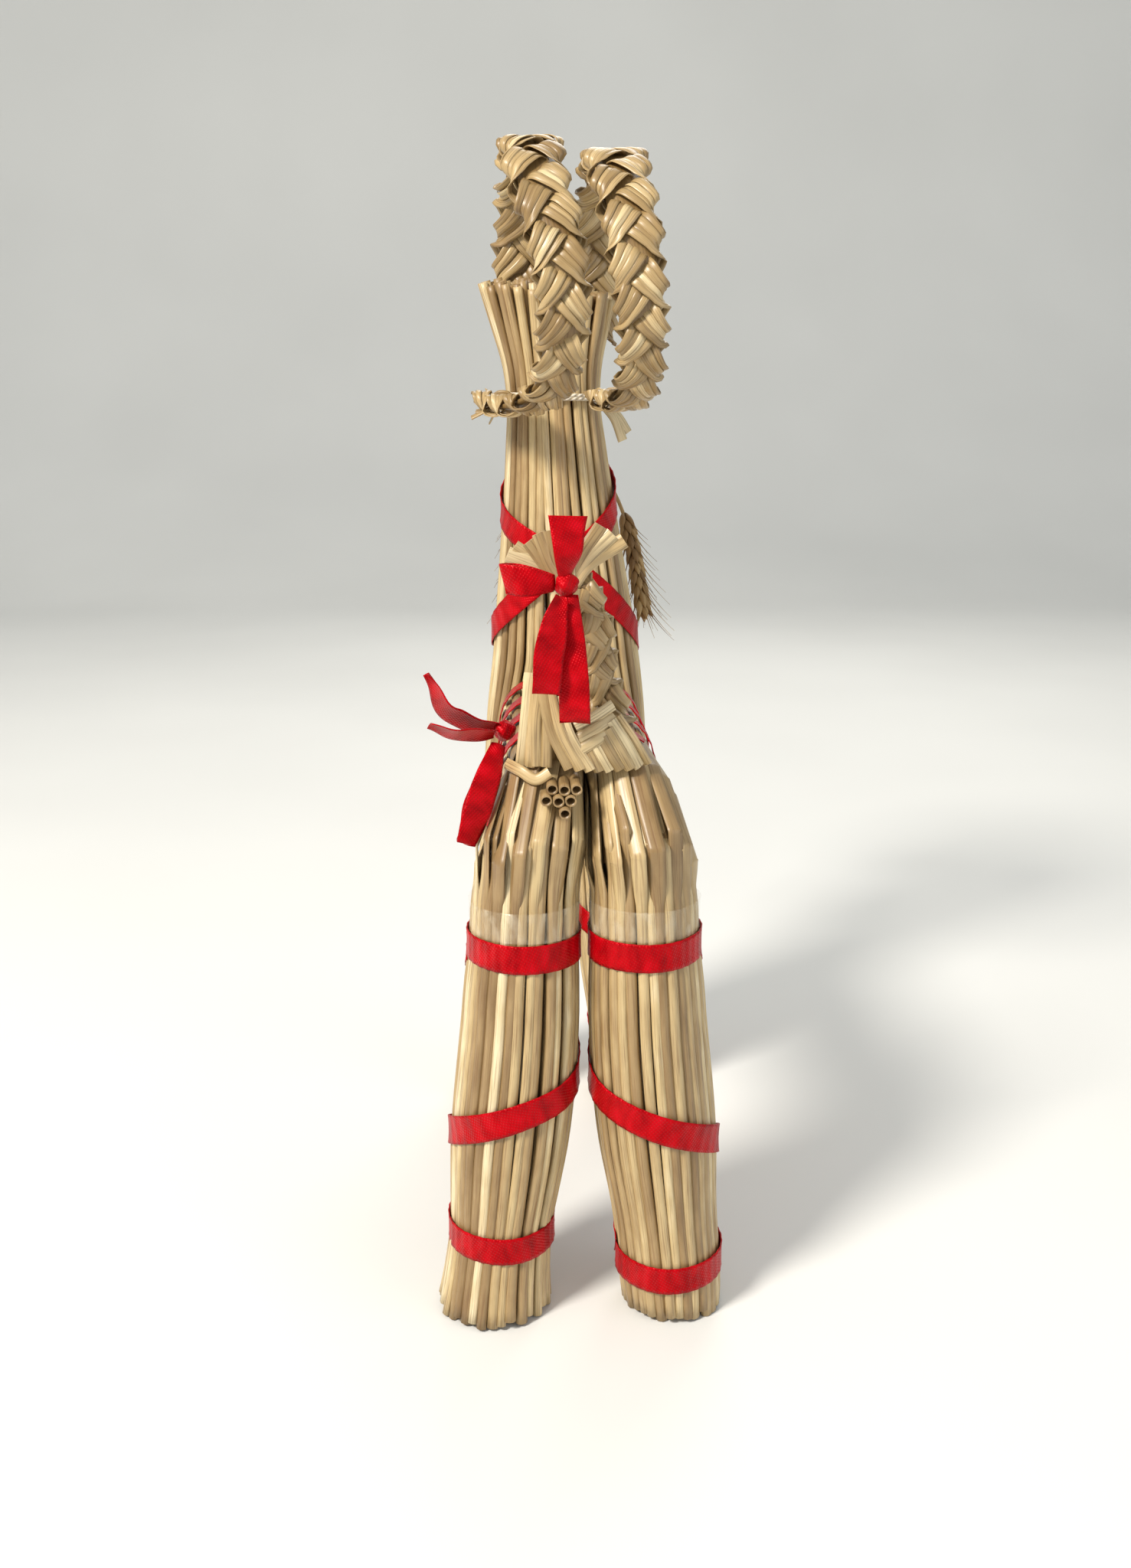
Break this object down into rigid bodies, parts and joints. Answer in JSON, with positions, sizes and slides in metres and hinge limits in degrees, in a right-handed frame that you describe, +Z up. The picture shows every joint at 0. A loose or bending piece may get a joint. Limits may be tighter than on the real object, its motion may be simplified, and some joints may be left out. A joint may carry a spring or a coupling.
{
  "type": "straw yule goat",
  "caption": "Standing goat ornament of bound straw bundles, with plaited horns and tail, a beard of wheat ears, and satin ribbon windings and bows.",
  "frame": {"origin": "on the surface the goat stands on, at the middle of its overall box", "axes": "+X to the goat's left, +Y towards its tail (the goat faces -Y), +Z up"},
  "size_m": [0.1015, 0.2788, 0.3998],
  "materials": {
    "straw": "dry rye straw with a natural waxy sheen",
    "plaited_straw": "flattened straw, plaited, waxy sheen",
    "wheat_ear": "matte dry wheat ear",
    "red_ribbon": "satin",
    "clear_tape": "glossy clear tape",
    "white_string": "matte cotton string"
  },
  "bodies": {
    "root": {"hind_left_leg_straw": "straw", "hind_right_leg_straw": "straw", "front_left_leg_straw": "straw", "front_right_leg_straw": "straw", "beard_ear_1": "wheat_ear", "beard_ear_2": "wheat_ear", "beard_ear_3": "wheat_ear", "beard_ear_4": "wheat_ear", "beard_ear_5": "wheat_ear", "body_bow_end_lower": "red_ribbon", "body_bow_end_upper": "red_ribbon", "body_bow_knot": "red_ribbon", "body_bow_loop": "red_ribbon", "body_ribbon": "red_ribbon", "core_straw_1": "straw", "core_straw_2": "straw", "core_straw_3": "straw", "core_straw_4": "straw", "core_straw_5": "straw", "core_straw_6": "straw", "core_straw_7": "straw", "front_left_leg_ribbon": "red_ribbon", "front_right_leg_ribbon": "red_ribbon", "head_straw": "straw", "hind_left_leg_ribbon": "red_ribbon", "hind_left_leg_tape": "clear_tape", "hind_right_leg_ribbon": "red_ribbon", "hind_right_leg_tape": "clear_tape", "left_horn": "plaited_straw", "muzzle_ribbon": "red_ribbon", "neck_ribbon": "red_ribbon", "neck_straw": "straw", "neck_tie": "white_string", "neck_tie_end_1": "plaited_straw", "neck_tie_end_2": "plaited_straw", "right_horn": "plaited_straw", "tail_base": "plaited_straw", "tail_bow_end_down": "red_ribbon", "tail_bow_end_up": "red_ribbon", "tail_bow_knot": "red_ribbon", "tail_bow_loop_down": "red_ribbon", "tail_bow_loop_left": "red_ribbon", "tail_plait": "plaited_straw", "tail_tuft": "plaited_straw"}
  },
  "joints": []
}
